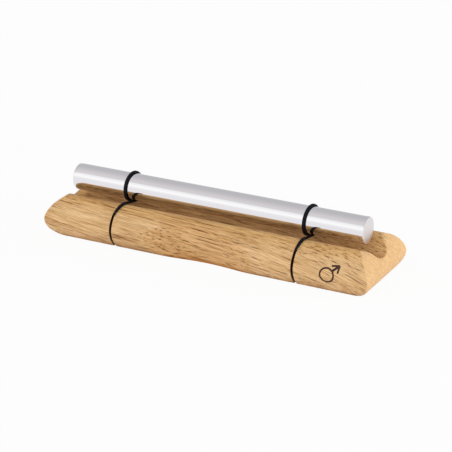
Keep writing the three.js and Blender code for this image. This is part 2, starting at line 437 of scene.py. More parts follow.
def wood_body(tree, place, fibres, end_share):
    """The wood without its vessels: layers, streaks, fibres and wide clouds, and the duller end grain."""
    layers = layer_place(tree, place)
    bands = noise(tree, layers, *BANDS)
    streaks = noise(tree, layers, *STREAKS)
    clouds = noise(tree, place, *CLOUDS)
    tone = 0.0
    for mark, share in zip((bands, streaks, fibres, clouds), TONE_SHARES):
        tone = maths(tree, "MULTIPLY_ADD", mark, share, tone)
    body = mixed(tree, ramped(tree, tone, *TONE_SPAN), WOOD_DARK, WOOD_LIGHT)
    return mixed(tree, maths(tree, "MULTIPLY", end_share, END_TINT_SHARE), body, WOOD_END)


def vessels(tree, place, spacing, least, most, edge):
    """Where the vessels of the wood are cut open. They are thin tubes along the fibres, so they show as
    dashes where the face runs almost along them and as dots where it crosses them. Gives how far each
    point lies inside a vessel, and how near one it is."""
    parts = split(tree, place)
    flat = add_node(tree, "ShaderNodeCombineXYZ", {0: parts["Y"], 1: parts["Z"]}).outputs[0]
    values = {"Vector": flat, "Scale": 1 / spacing}
    cells = add_node(tree, "ShaderNodeTexVoronoi", values, voronoi_dimensions="2D").outputs
    own = add_node(tree, "ShaderNodeSeparateColor", {0: cells["Color"]}).outputs[0]
    away = maths(tree, "MULTIPLY", cells["Distance"], spacing)
    radius = maths(tree, "MULTIPLY_ADD", own, most - least, least)
    depth = maths(tree, "SUBTRACT", radius, away)
    return ramped(tree, depth, -edge, edge), ramped(tree, depth, -2 * most, 0.0)


def with_vessels(tree, place, body, end_share):
    """The wood's body with its vessels, the large ones in drifts and a brown edge round each."""
    crowd = ramped(tree, noise(tree, place, *DRIFTS), *DRIFT_SPAN)
    broken = ramped(tree, noise(tree, place, *BREAKS), *BREAK_SPAN)
    present = product(tree, crowd, broken, maths(tree, "MULTIPLY_ADD", end_share, -LARGE_END_LOSS, 1.0))
    large, near_large = vessels(tree, place, *LARGE_VESSELS)
    fine, _ = vessels(tree, place, *FINE_VESSELS)
    large = product(tree, large, present, LARGE_SHARE)
    fine = product(tree, fine, maths(tree, "MULTIPLY_ADD", end_share, -FINE_END_LOSS, FINE_SHARE))
    haloed = mixed(tree, product(tree, near_large, present, HALO_SHARE), body, WOOD_HALO)
    return mixed(tree, maths(tree, "MAXIMUM", large, fine), haloed, WOOD_PORE)


def with_recess_and_painted_shade(tree, tint, end_share):
    """Painted shade on the upper faces, the trough's floor, the foot and the kerf, and the recess's tint.
    """
    parts = split(tree, mm_place(tree))
    # Painted shade on the trough's floor under the rod.
    in_trough = product(
        tree,
        ramped(tree, maths(tree, "ABSOLUTE", parts["Y"]), *TROUGH_SHADE_WIDTH, 1.0, 0.0),
        ramped(tree, parts["Z"], *TROUGH_SHADE_START),
        maths(tree, "SUBTRACT", 1.0, end_share),
    )
    # Painted shade on the upper faces, the trough's floor under the rod and the foot; the recess's tint is
    # its own.
    for share, stain in (
        (attribute(tree, "upper_shade"), UPPER_PAINTED_SHADE),
        (attribute(tree, "recess"), RECESS_TINT),
        (in_trough, TROUGH_PAINTED_SHADE),
        (ramped(tree, parts["Z"], *FOOT_SHADOW_HEIGHT, 1.0, 0.0), FOOT_PAINTED_SHADOW),
    ):
        tint = mixed(tree, share, tint, stain, "MULTIPLY")
    # Painted shade inside the kerf.
    return mixed(tree, attribute(tree, "kerf"), tint, KERF_PAINTED_SHADE)


def relief(tree, shader, strength, depth, height):
    """Raises a surface by a height, from a depth in millimetres."""
    values = {"Strength": strength, "Distance": depth * MM, "Height": height}
    bump = add_node(tree, "ShaderNodeBump", values)
    tree.links.new(bump.outputs[0], shader.inputs["Normal"])


def wood_material(name):
    material, tree, shader = new_material(name, WOOD_FINISH)
    place = fibre_place(tree)
    end_share = end_grain(tree)
    fibres = noise(tree, place, *FIBRES)
    body = wood_body(tree, place, fibres, end_share)
    tint = with_recess_and_painted_shade(tree, with_vessels(tree, place, body, end_share), end_share)
    tree.links.new(tint, shader.inputs["Base Color"])
    relief(tree, shader, FIBRE_RELIEF, FIBRE_DEPTH, fibres)
    return material


# The stretches of a noise's values that are spread over a whole range.
WIDE_SPAN = (0.3, 0.7)
NARROW_SPAN = (0.35, 0.65)

BURNT_DARK = colour(34, 17, 9)
BURNT_LIGHT = colour(92, 54, 31)
BURNT_FINISH = {"Roughness": 0.75}
SPECKLES_PER_METRE = 2600.0


def burnt_material(name):
    """Wood charred by a hot iron, with browner specks."""
    material, tree, shader = new_material(name, BURNT_FINISH)
    place = add_node(tree, "ShaderNodeTexCoord").outputs["Object"]
    values = {"Vector": place, "Scale": SPECKLES_PER_METRE, "Detail": 2.0}
    speckle = add_node(tree, "ShaderNodeTexNoise", values).outputs["Fac"]
    tint = mixed(tree, ramped(tree, speckle, *NARROW_SPAN), BURNT_DARK, BURNT_LIGHT)
    tree.links.new(tint, shader.inputs["Base Color"])
    return material


# The metal and the elastic

METAL_FINISH = {"Base Color": colour(231, 229, 232), "Metallic": 1.0}
METAL_ROUGHNESS = (0.03, 0.05)
POLISH_LINES = (60.0, 0.12, 1.0)


def metal_material(name):
    """The rod's side, polished lengthwise."""
    material, tree, shader = new_material(name, METAL_FINISH)
    lines = noise(tree, mm_place(tree), *POLISH_LINES)
    tree.links.new(ramped(tree, lines, *WIDE_SPAN, *METAL_ROUGHNESS), shader.inputs["Roughness"])
    return material


TURNED_FINISH = {"Metallic": 1.0}
TURNED_DARK = colour(226, 222, 223)
TURNED_LIGHT = colour(233, 229, 230)
TURNED_ROUGHNESS = (0.34, 0.42)
TURNED_CLOUDS = (1.5, 1.5, 2.0)
TURNING_SPACING = 0.09
TURNING_RELIEF = 0.04
TURNING_DEPTH = 0.03


def turned_material(name):
    """The rod's ends, with the fine rings that the lathe left."""
    material, tree, shader = new_material(name, TURNED_FINISH)
    parts = split(tree, mm_place(tree))
    height = maths(tree, "SUBTRACT", parts["Z"], ROD_HEIGHT)
    flat = add_node(tree, "ShaderNodeCombineXYZ", {1: parts["Y"], 2: height}).outputs[0]
    radius = add_node(tree, "ShaderNodeVectorMath", {0: flat}, operation="LENGTH").outputs["Value"]
    values = {"W": maths(tree, "DIVIDE", radius, TURNING_SPACING), "Scale": 1.0, "Detail": 2.0}
    rings = add_node(tree, "ShaderNodeTexNoise", values, noise_dimensions="1D").outputs["Fac"]
    relief(tree, shader, TURNING_RELIEF, TURNING_DEPTH, rings)
    clouds = noise(tree, mm_place(tree), *TURNED_CLOUDS)
    tree.links.new(ramped(tree, clouds, *NARROW_SPAN, *TURNED_ROUGHNESS), shader.inputs["Roughness"])
    tint = mixed(tree, ramped(tree, rings, *WIDE_SPAN), TURNED_DARK, TURNED_LIGHT)
    tree.links.new(tint, shader.inputs["Base Color"])
    return material


CORD_FINISH = {"Roughness": 0.5, "Specular IOR Level": 0.12}
CORD_DARK = colour(5, 6, 9)
# Painted highlight on the raised yarns.
CORD_PAINTED_SHEEN = colour(18, 20, 27)


def cord_material(name):
    """Black yarn with a painted highlight: a little lighter where the braid is raised."""
    material, tree, shader = new_material(name, CORD_FINISH)
    # Painted highlight where the braid is raised.
    tint = mixed(tree, attribute(tree, "raised"), CORD_DARK, CORD_PAINTED_SHEEN)
    tree.links.new(tint, shader.inputs["Base Color"])
    return material


# The base


def eased_least(first, second, ease):
    """The lesser of two distances, with the corner between them rounded off."""
    least = np.minimum(first, second)
    room = np.maximum(np.minimum(ease, least), LEAST)
    near = np.maximum(room - np.abs(first - second), 0) / room
    return least - near**2 * room / 4


def nose_inset(rise, nose, power):
    """How far in from its widest line a nose's upper face is, at a share of the rise to the top."""
    return nose * (1 - (1 - rise**power) ** (1 / power))


def mouth_inset():
    """How far in from the widest line the kerf's mouth is."""
    return nose_inset((KERF_TOP - WAIST) / NOSE_HEIGHT, SIDE_NOSE, SIDE_NOSE_POWER)


def nose_rise(inset, nose, power):
    """Height of a nose's upper face over the waist, at a distance in from its widest line."""
    share = np.clip(1 - inset / nose, 0, 1)
    return NOSE_HEIGHT * (1 - share**power) ** (1 / power)


def nose_fall(inset, tuck):
    """Depth of a nose's lower face under the waist."""
    return WAIST * np.sqrt(np.maximum(inset, 0) / tuck)


SEARCH_STEPS = 36


def rounded_reach(side_inset, end_inset, side_face, end_face, radius, limit):
    """How far the noses of a side and an end leave the wood standing, as a share of their faces' height,
    where every level of the corner between them is rounded off in plan."""
    low = np.zeros_like(side_inset)
    high = np.full_like(side_inset, limit)
    for _ in range(SEARCH_STEPS):
        share = (low + high) / 2
        rounding = radius(share)
        past_side = side_face(share) + rounding - side_inset
        past_end = end_face(share) + rounding - end_inset
        corner = (past_side > 0) & (past_end > 0)
        reach = np.where(corner, np.hypot(past_side, past_end), np.maximum(past_side, past_end))
        inside = reach <= rounding
        low = np.where(inside, share, low)
        high = np.where(inside, high, share)
    return low


def upper_height(side_inset, end_inset):
    """Height of the noses' upper faces over the waist."""
    share = rounded_reach(
        side_inset,
        end_inset,
        lambda rise: nose_inset(rise, SIDE_NOSE, SIDE_NOSE_POWER),
        lambda rise: nose_inset(rise, END_NOSE, END_NOSE_POWER),
        lambda rise: part_way(WAIST_CORNER, CREASE_RADIUS, np.sqrt(rise)),
        1.0,
    )
    return share * NOSE_HEIGHT


def lower_depth(side_inset, end_inset):
    """Depth of the noses' lower faces under the waist, as if nothing cut them off at the underside."""
    share = rounded_reach(
        side_inset,
        end_inset,
        lambda fall: SIDE_TUCK * fall**2,
        lambda fall: END_TUCK * fall**2,
        lambda fall: part_way(WAIST_CORNER, FOOT_CORNER, np.minimum(fall, 1) ** FOOT_CORNER_POWER),
        1 + FOOT_EASE / WAIST,
    )
    return share * WAIST


def lip_arc():
    """The lip's arc: its centre, its radius, where it leaves the trough, where it meets the nose, and
    which way it faces there."""
    in_share = 1 - LIP_INSET / SIDE_NOSE
    up_share = (1 - in_share**SIDE_NOSE_POWER) ** (1 / SIDE_NOSE_POWER)
    meeting = np.array([HALF_WIDTH - LIP_INSET, WAIST + NOSE_HEIGHT * up_share])
    slope = SIDE_NOSE_POWER - 1
    facing = unit(np.array([in_share**slope / SIDE_NOSE, up_share**slope / NOSE_HEIGHT]))
    away = meeting - np.array([0, TROUGH_AXIS])
    radius = (away @ away - TROUGH_RADIUS**2) / (2 * (TROUGH_RADIUS + facing @ away))
    centre = meeting - facing * radius
    touch = centre[0] * TROUGH_RADIUS / (TROUGH_RADIUS + radius)
    return centre, radius, touch, meeting, facing


LIP_CENTRE, LIP_RADIUS, LIP_TOUCH, LIP_MEETING, LIP_FACING = lip_arc()


def trough_drop(across):
    """How far the trough and its lips lie under the top, at a distance from the middle."""
    inside = TROUGH_AXIS - np.sqrt(np.maximum(TROUGH_RADIUS**2 - across**2, 0))
    lip = LIP_CENTRE[1] + np.sqrt(np.maximum(LIP_RADIUS**2 - (across - LIP_CENTRE[0]) ** 2, 0))
    height = np.where(across < LIP_TOUCH, inside, np.where(across < LIP_MEETING[0], lip, TOP))
    return TOP - height


FLOOR_STEPS = 20
LIP_STEPS = 16
NOSE_STEPS = 40


def across_places():
    """Distances from the base's middle line at which its section is sampled, out to the waist."""
    touch_turn = math.asin(LIP_TOUCH / TROUGH_RADIUS)
    floor = TROUGH_RADIUS * np.sin(np.linspace(0, touch_turn, FLOOR_STEPS, endpoint=False))
    last_lean = math.asin(LIP_FACING[0])
    leans = np.linspace(-touch_turn, last_lean, LIP_STEPS, endpoint=False)
    lip = LIP_CENTRE[0] + LIP_RADIUS * np.sin(leans)
    in_share = 1 - LIP_INSET / SIDE_NOSE
    turns = np.linspace(math.acos(in_share ** (SIDE_NOSE_POWER / 2)), 0, NOSE_STEPS)
    nose = HALF_WIDTH - SIDE_NOSE * (1 - np.cos(turns) ** (2 / SIDE_NOSE_POWER))
    return np.concatenate([floor, lip, nose])


# Steps along the base: even ones where the recess is, wide ones up to the kerf and past it, and by even
# turns round the end's nose. The kerf's edge has rings this far from it, cut this deep or to its floor.
MIDDLE_STEP = 0.6
MIDDLE_REACH = 31
PLAIN_STEP = 2.0
END_STEPS = 40
KERF_MARGIN = 2.4
TO_THE_FLOOR = 99
KERF_RINGS = (
    (-0.9, 0),
    (-0.3, 0),
    (-0.08, 0),
    (-0.02, 0.03),
    (0.02, 0.12),
    (0.02, 0.6),
    (0.02, TO_THE_FLOOR),
)


def along_places():
    """Places along the base and how deep the kerf is cut at each, for the right half."""
    kerf = KERF_PLACES[1]
    middle = np.arange(0, MIDDLE_REACH, MIDDLE_STEP)
    before = np.arange(MIDDLE_REACH, kerf - KERF_MARGIN, PLAIN_STEP)
    edge = [(kerf - KERF_WIDTH / 2 + offset, cut) for offset, cut in KERF_RINGS]
    other_edge = [(2 * kerf - x, cut) for x, cut in reversed(edge)]
    after = np.arange(kerf + KERF_MARGIN, HALF_LENGTH - END_NOSE, PLAIN_STEP)
    turns = np.linspace(math.pi / 2, 0, END_STEPS)
    end = HALF_LENGTH - END_NOSE * (1 - np.clip(np.cos(turns), 0, 1) ** (2 / END_NOSE_POWER))
    plain = [(x, 0) for x in (*middle, *before)]
    return [*plain, *edge, *other_edge, *((x, 0) for x in (*after, *end))]


def drum_limit(x, height):
    """How far out the finger recess leaves the side standing at x and at each height."""
    low = np.clip(1 - height / WAIST, 0, 1)
    depth = part_way(RECESS_DEPTH, RECESS_FOOT_DEPTH, low)
    place = part_way(RECESS_PLACE, RECESS_FOOT_PLACE, low)
    away = np.minimum(np.abs(x - place), RECESS_REACH)
    return HALF_WIDTH - depth + RECESS_RADIUS - np.sqrt(RECESS_RADIUS**2 - away**2)


def corner_limit(x):
    """How far out the rounded corners leave the waist standing at x."""
    into = max(abs(x) - (HALF_LENGTH - WAIST_CORNER), 0)
    return HALF_WIDTH - WAIST_CORNER + math.sqrt(max(WAIST_CORNER**2 - into**2, 0))


def eased_most(first, second, ease):
    """The greater of two drops, with the corner between them rounded off."""
    room = np.maximum(np.minimum(np.minimum(first, second), ease), LEAST)
    near = np.maximum(room - np.abs(first - second), 0)
    return np.maximum(first, second) + near**2 / room / 4


def skin_section(x, across):
    """The base's section at x: distance across and height over the top, and the same under the base."""
    across = np.minimum(across, corner_limit(x))
    end_inset = np.full_like(across, HALF_LENGTH - abs(x))
    side_inset = HALF_WIDTH - across
    hollow = trough_drop(across)
    end_drop = NOSE_HEIGHT - nose_rise(end_inset, END_NOSE, END_NOSE_POWER)
    corner_drop = np.maximum(hollow, NOSE_HEIGHT - upper_height(side_inset, end_inset))
    inner = np.clip((LIP_MEETING[0] - across) / (LIP_MEETING[0] - LIP_CENTRE[0]), 0, 1)
    high = TOP - part_way(corner_drop, eased_most(hollow, end_drop, TROUGH_END_EASE), inner)
    low = WAIST - eased_least(lower_depth(side_inset, end_inset), WAIST, FOOT_EASE)
    out = eased_least(across, drum_limit(x, high), RECESS_EASE)
    under = eased_least(across, drum_limit(x, low), RECESS_EASE)
    return out, high, under, low


KERF_BENDS = 7


def kerf_floor():
    """The kerf's floor and the groove, from the kerf's mouth to the middle of the underside."""
    mouth = np.array([HALF_WIDTH - mouth_inset(), KERF_TOP])
    foot = np.array([KERF_FOOT, GROOVE_DEPTH])
    start = foot + unit(mouth - foot) * GROOVE_EASE
    end = foot - np.array([GROOVE_EASE, 0])
    bends = np.linspace(0, 1, KERF_BENDS)[:, None]
    corner = (1 - bends) ** 2 * start + 2 * bends * (1 - bends) * foot + bends**2 * end
    return np.vstack([mouth, corner, [0, GROOVE_DEPTH]])


def cut_section(out, high, under, low, cut):
    """A section with the kerf cut into it, as deep as cut or down to its floor."""
    skin = np.vstack([np.column_stack([out, high]), np.column_stack([under, low])[::-1][1:]])
    count = len(out)
    on_side = (skin[:, 1] < KERF_TOP) & (skin[:, 0] > HALF_WIDTH - SIDE_NOSE)
    first = np.argmax(on_side | (np.arange(len(skin)) >= count))
    part = skin[first:]
    ways = path_lengths(part)
    floor = kerf_floor()
    floor_ways = path_lengths(floor)
    deep = on_line(floor, floor_ways, ways / ways[-1] * floor_ways[-1])
    gap = np.linalg.norm(deep - part, axis=1)
    share = np.minimum(1, cut / np.maximum(gap, LEAST))
    skin[first:] = part_way(part, deep, share[:, None])
    low_cut = skin[count - 1 :][::-1]
    return skin[:count, 0], skin[:count, 1], low_cut[:, 0], low_cut[:, 1]


# The painted shade on top starts this far in from the waist, comes on over a run, and is less in the
# trough.
UPPER_SHADE_START = 2.5
UPPER_SHADE_RUN = 5.5
UPPER_SHADE_LOSS = 0.4
MARK_EDGE = 0.3
RECESS_EDGE = 0.6
# The kerf's painted shade starts this far under its mouth, on rings that are cut at least this deep.
KERF_MARK_DROP = 0.1
KERF_MARK_CUT = 0.5


def ring_marks(x, cut, across, out, high):
    """How far each point over the top has the upper faces' and the kerf's painted shade, and the recess."""
    end_drop = NOSE_HEIGHT - nose_rise(HALF_LENGTH - abs(x), END_NOSE, END_NOSE_POWER)
    side_drop = NOSE_HEIGHT - nose_rise(HALF_WIDTH - across, SIDE_NOSE, SIDE_NOSE_POWER)
    off_end = np.clip((np.maximum(trough_drop(across), side_drop) - end_drop) / MARK_EDGE, 0, 1)
    inner = np.clip((LIP_CENTRE[0] - across) / LIP_CENTRE[0], 0, 1)
    # Painted shade on the upper faces, in from the waist, off the end's nose and less in the trough.
    in_from_waist = np.clip((HALF_WIDTH - across - UPPER_SHADE_START) / UPPER_SHADE_RUN, 0, 1)
    upper_shade = off_end * in_from_waist * (1 - UPPER_SHADE_LOSS * inner)
    recess = np.clip((np.minimum(across, corner_limit(x)) - out) / RECESS_EDGE, 0, 1)
    on_side = (high < KERF_TOP - KERF_MARK_DROP) & (across > HALF_WIDTH - SIDE_NOSE)
    # The kerf's painted shade.
    kerf = np.full_like(across, float(cut > KERF_MARK_CUT)) * on_side
    return upper_shade, recess, kerf


def whole_ring(over, under, mirror=1):
    """Values all round the base, from those of its right half over the top and underneath."""
    return np.r_[mirror * over[:0:-1], over, under[-2::-1], mirror * under[1:-1]]


def base_rings():
    """The base's rings of points, and each point's shares of upper painted shade, recess and kerf shade."""
    across = across_places()
    right = along_places()
    rings = []
    marks = []
    for x, cut in [(-x, cut) for x, cut in right[:0:-1]] + right:
        out, high, under, low = skin_section(x, across)
        above_marks = ring_marks(x, cut, across, out, high)
        recess_low = np.clip((np.minimum(across, corner_limit(x)) - under) / RECESS_EDGE, 0, 1)
        kerf_low = np.full_like(across, float(cut > KERF_MARK_CUT))
        if cut:
            out, high, under, low = cut_section(out, high, under, low, cut)
        places = (whole_ring(out, under, -1), whole_ring(high, low))
        rings.append(np.column_stack([np.full(len(places[0]), x), *places]))
        low_marks = (0 * across, recess_low, kerf_low)
        marks.append(np.column_stack([whole_ring(*shares) for shares in zip(above_marks, low_marks)]))
    return rings, marks


SKIN_STEPS = 400
SKIN_LOW_STEPS = 199
SKIN_PROBE = 0.05


def front_line():
    """The front face from low down to the top, as points (across, height), and how far each is along the
    skin from the waist."""
    insets = SIDE_NOSE * np.linspace(0, 1, SKIN_STEPS) ** 2
    low_insets = insets[1 : SKIN_LOW_STEPS + 1]
    above = np.column_stack([insets - HALF_WIDTH, WAIST + nose_rise(insets, SIDE_NOSE, SIDE_NOSE_POWER)])
    below = np.column_stack([low_insets - HALF_WIDTH, WAIST - nose_fall(low_insets, SIDE_TUCK)])
    line = np.vstack([below[::-1], above])
    ways = path_lengths(line)
    return line, ways - ways[SKIN_LOW_STEPS]


FRONT_LINE, FRONT_WAYS = front_line()


def skin_at(x, up):
    """A point on the front face, and its outward direction, up along the skin from the waist."""
    at, ahead = on_line(FRONT_LINE, FRONT_WAYS, [up, up + SKIN_PROBE])
    run = unit(ahead - at)
    return np.array([x, *at]), np.array([0, -run[1], run[0]])


# The round sign with its arrow, burnt into the right of the front face: its middle, the ring's radius,
# half the width of each line, how far over the skin the hot iron's middle ran, and the arrow's ends.
SIGN_X = 64.04
SIGN_UP = 0.58
SIGN_RADIUS = 3.27
RING_LINE = 0.45
SHAFT_LINE = 0.62
BARB_LINE = 0.5
SIGN_RAISE = 0.15
SHAFT_START = 3.7
ARROW_TIP = (69.7, 5.8)
BARB_ENDS = ((65.9, 5.1), (69.2, 2.3))
RING_STEPS = 73
STROKE_STEP = 0.25
LEAST_STROKE_STEPS = 8
STROKE_SIDES = 12


def sign_lines():
    """The sign's strokes on the front face: points (x, up), and half the width of the line."""
    turns = np.linspace(0, 2 * math.pi, RING_STEPS)
    ring = [(SIGN_X + SIGN_RADIUS * math.cos(t), SIGN_UP + SIGN_RADIUS * math.sin(t)) for t in turns]
    centre = np.array([SIGN_X, SIGN_UP])
    tip = np.array(ARROW_TIP)
    away = unit(tip - centre)
    strokes = [(ring, RING_LINE), ([centre + away * SHAFT_START, tip - away * SHAFT_LINE], SHAFT_LINE)]
    return strokes + [([tip, np.array(end)], BARB_LINE) for end in BARB_ENDS]


def stroke_places(stroke, closed):
    """A stroke's points at even steps. A closed one doesn't repeat its first."""
    stroke = np.asarray(stroke, float)
    ways = path_lengths(stroke)
    even = np.linspace(0, ways[-1], max(int(ways[-1] / STROKE_STEP), LEAST_STROKE_STEPS))
    places = on_line(stroke, ways, even)
    return places[:-1] if closed else places


def cutter_object(name, points, faces, material):
    cutter = mesh_object(name, points, faces)
    weld(cutter)
    cutter.data.materials.append(material)
    return cutter


def stroke_cutter(name, stroke, line, material):
    """A round tube that follows a stroke just over the skin."""
    closed = np.allclose(stroke[0], stroke[-1])
    places = stroke_places(stroke, closed)
    count = len(places)
    points = []
    for i, (x, up) in enumerate(places):
        at, outward = skin_at(x, up)
        ahead = places[(i + 1) % count] if closed or i < count - 1 else places[i]
        behind = places[i - 1] if closed or i > 0 else places[i]
        step = unit(skin_at(*ahead)[0] - skin_at(*behind)[0])
        sideways = np.cross(outward, step)
        middle = at + outward * SIGN_RAISE
        for turn in circle_turns(STROKE_SIDES):
            points.append(middle + line * (math.cos(turn) * sideways + math.sin(turn) * outward))
    faces = ring_faces(count, STROKE_SIDES, closed)
    if not closed:
        faces += end_faces(count, STROKE_SIDES)
    return cutter_object(name, points, faces, material)


POCKET_SIDES = 64


def pocket_cutter(name, x, material):
    """A plain drum for the pocket under the base."""
    radius = POCKET_DIAMETER / 2
    points = [
        (x + radius * math.cos(turn), radius * math.sin(turn), height)
        for height in (-CUTTER_OVERRUN, POCKET_DEPTH)
        for turn in circle_turns(POCKET_SIDES)
    ]
    return cutter_object(name, points, ring_faces(2, POCKET_SIDES) + end_faces(2, POCKET_SIDES), material)


def carve(piece, cutters):
    """Cuts the cutters out of a piece. The cut faces take the cutter's material."""
    for cutter in cutters:
        cut = piece.modifiers.new("cut", "BOOLEAN")
        cut.operation = "DIFFERENCE"
        cut.solver = "EXACT"
        cut.material_mode = "TRANSFER"
        cut.object = cutter
    apply_modifiers(piece)
    for cutter in cutters:
        bpy.data.objects.remove(cutter)


BASE_EDGE = math.radians(38)


def make_base(wood, burnt):
    """The base with its kerfs, pockets and burnt sign."""
    rings, marks = base_rings()
    around = len(rings[0])
    base = mesh_object("oiled_wood_base", np.vstack(rings), ring_faces(len(rings), around))
    # The upper faces' and the kerf's painted shade, and the recess's tint, as shares on the points.
    for name, shares in zip(("upper_shade", "recess", "kerf"), np.vstack(marks).T):
        base.data.attributes.new(name, "FLOAT", "POINT").data.foreach_set("value", shares)
    weld(base)
    base.data.materials.append(wood)
    cutters = [pocket_cutter(f"pocket_cutter_{i}", x, wood) for i, x in enumerate(KERF_PLACES)]
    for i, (stroke, line) in enumerate(sign_lines()):
        cutters.append(stroke_cutter(f"sign_cutter_{i}", stroke, line, burnt))
    carve(base, cutters)
    base.data.set_sharp_from_angle(angle=BASE_EDGE)
    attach(base, "base")
    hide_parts("wooden_base")


# The rod

ROD_SIDES = 160
END_RINGS = (0.0, 2.0, 4.0)
ROD_EDGE = math.radians(30)


def rod_profile():
    """The rod's outline from the middle of its left end to the middle of its right, as (radius, x)."""
    half = [(radius, 0.0) for radius in END_RINGS]
    half += [
        (ROD_RADIUS - ROD_CHAMFER - CHAMFER_EASE, 0.0),
        (ROD_RADIUS - ROD_CHAMFER, RIM_FALL),
        (ROD_RADIUS - CHAMFER_EASE, ROD_CHAMFER - CHAMFER_EASE),
        (ROD_RADIUS, ROD_CHAMFER + CHAMFER_EASE),
        (ROD_RADIUS, SIDE_START),
    ]
    left = [(radius, ROD_LEFT + inward) for radius, inward in half]
    return left + [(radius, ROD_RIGHT - inward) for radius, inward in reversed(half)]


def make_rod(metal, turned):
    """The sound rod, with the lathe's rings on its two ends."""
    profile = rod_profile()
    points = [
        (x, radius * math.cos(turn), ROD_HEIGHT + radius * math.sin(turn))
        for radius, x in profile
        for turn in circle_turns(ROD_SIDES)
    ]
    rod = mesh_object("polished_rod", points, ring_faces(len(profile), ROD_SIDES))
    rod.data.materials.append(metal)
    rod.data.materials.append(turned)
    end_rows = len(END_RINGS) + 1
    for face in rod.data.polygons:
        row = face.index // ROD_SIDES
        face.material_index = int(row < end_rows or row >= len(profile) - 1 - end_rows)
    weld(rod)
    rod.data.set_sharp_from_angle(angle=ROD_EDGE)
    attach(rod, "rod")
    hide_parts("sound_rod")


# The cords

# How far a cord's middle is from the middle of the rod and from the middle of the lip's arc.
ROD_WRAP = ROD_RADIUS + ON_ROD[1] + CORD_REST
LIP_WRAP = LIP_RADIUS + ON_WOOD[1] + CORD_REST


def strand_slope():
    """How far the straight stretch between the rod's underside and the lip lies from level."""
    across, rise = LIP_CENTRE - np.array([0, ROD_HEIGHT])
    return math.asin((ROD_WRAP + LIP_WRAP) / math.hypot(across, rise)) + math.atan2(rise, across)


STRAND_SLOPE = strand_slope()


def lifted_corner(before, corner, after, lift):
    """A corner moved out to where the middle of a cord that lies on both its sides runs."""
    along = unit(corner - before)
    onwards = unit(after - corner)
    out = (along + onwards) * lift / (1 + along @ onwards)
    return corner + np.array([-out[1], out[0]])


LIP_ROWS = 6
SKIN_ROWS = 6
KERF_ROWS = 9


def seat_route():
    """Where the cord's middle runs on one side of the base, from the lip to the middle underneath, as
    rows (across, height, half width, half thickness, share of its shift along the base left)."""
    rows = []
    first = math.pi / 2 + STRAND_SLOPE
    last = math.atan2(LIP_FACING[1], LIP_FACING[0])
    for turn in np.linspace(first, last, LIP_ROWS, endpoint=False):
        at = LIP_CENTRE + LIP_WRAP * np.array([math.cos(turn), math.sin(turn)])
        rows.append((*at, *ON_WOOD))
    insets = np.linspace(LIP_INSET, mouth_inset(), SKIN_ROWS)
    skin = np.column_stack([HALF_WIDTH - insets, WAIST + nose_rise(insets, SIDE_NOSE, SIDE_NOSE_POWER)])
    floor = kerf_floor()
    shares = np.linspace(0, 1, KERF_ROWS, endpoint=False)[:, None]
    line = np.vstack([skin[:-1], part_way(floor[0], floor[1], shares), floor[1:]])
    for i in range(1, len(line) - 1):
        size = IN_KERF if i >= len(skin) else ON_WOOD
        rows.append((*lifted_corner(line[i - 1], line[i], line[i + 1], size[1] + CORD_REST), *size))
    rows.append((KNOT_REACH, GROOVE_DEPTH - IN_KERF[1] - CORD_REST, *IN_KERF))
    rows = np.array(rows)
    ways = path_lengths(rows[:, :2])
    squeezed = np.clip((ways - SQUEEZE_START) / (SQUEEZE_END - SQUEEZE_START), 0, 1)
    rows[:, 2] = part_way(ON_WOOD[0], IN_KERF[0], squeezed)
    return np.column_stack([rows, np.clip(1 - ways / SHIFT_RUN, 0, 1)])


WRAP_STEPS = 60


def loop_route(place, drift):
    """The cord's middle round the rod: in from the front under it, once round, and out to the back."""
    overlap = 2 * STRAND_SLOPE
    rows = []
    for i in range(WRAP_STEPS + 1):
        turned = (2 * math.pi + overlap) * i / WRAP_STEPS
        passed = min(max((turned - overlap) / (2 * math.pi - overlap), 0), 1)
        turn = -math.pi / 2 - STRAND_SLOPE + turned
        x = place + drift + CROSSING_SHIFT * (2 * (1 - passed) ** LOOP_LEAN - 1)
        rows.append((x, ROD_WRAP * math.cos(turn), ROD_HEIGHT + ROD_WRAP * math.sin(turn), *ON_ROD))
    return rows


def cord_route(place, drift, lip_shifts):
    """The whole cord's middle as rows (x, y, z, half width, half thickness), from the knot up the front,
    round the rod and down the back to the knot, as its three stretches."""
    seat = seat_route()
    front = [(place + lip_shifts[0] * free, -across, z, w, t) for across, z, w, t, free in seat[::-1]]
    back = [(place - lip_shifts[1] * free, across, z, w, t) for across, z, w, t, free in seat]
    return front, loop_route(place, drift), back


CURVE_STEPS = 24
CORD_STEP = 0.1


def smooth_rows(rows):
    """Rows resampled at even steps along a centripetal curve through them, and how far along it each is."""
    rows = np.asarray(rows, float)
    gaps = np.maximum(np.diff(path_lengths(rows[:, :3])), WELD_REACH) ** 0.5
    knots = np.r_[0, np.cumsum(gaps)]
    slopes = np.gradient(rows, knots, axis=0)
    fine = []
    for i in range(len(rows) - 1):
        span = knots[i + 1] - knots[i]
        for s in np.linspace(0, 1, CURVE_STEPS, endpoint=False):
            from_here = (2 * s**3 - 3 * s**2 + 1) * rows[i] + (s**3 - 2 * s**2 + s) * span * slopes[i]
            from_next = (3 * s**2 - 2 * s**3) * rows[i + 1] + (s**3 - s**2) * span * slopes[i + 1]
            row = from_here + from_next
            row[3:] = part_way(rows[i, 3:], rows[i + 1, 3:], s)
            fine.append(row)
    fine.append(rows[-1])
    fine = np.array(fine)
    ways = path_lengths(fine[:, :3])
    even = np.linspace(0, ways[-1], int(ways[-1] / CORD_STEP) + 1)
    return on_line(fine, ways, even), even


CORD_SIDES = 40
YARNS_EACH_WAY = 6
BRAID_PITCH = 5.2
BRAID_HEIGHT = 0.13
# How sharply a yarn goes over and under, and the height that stays where the plain tube was.
BRAID_CHANGE = 2.0
BRAID_LEVEL = 0.7


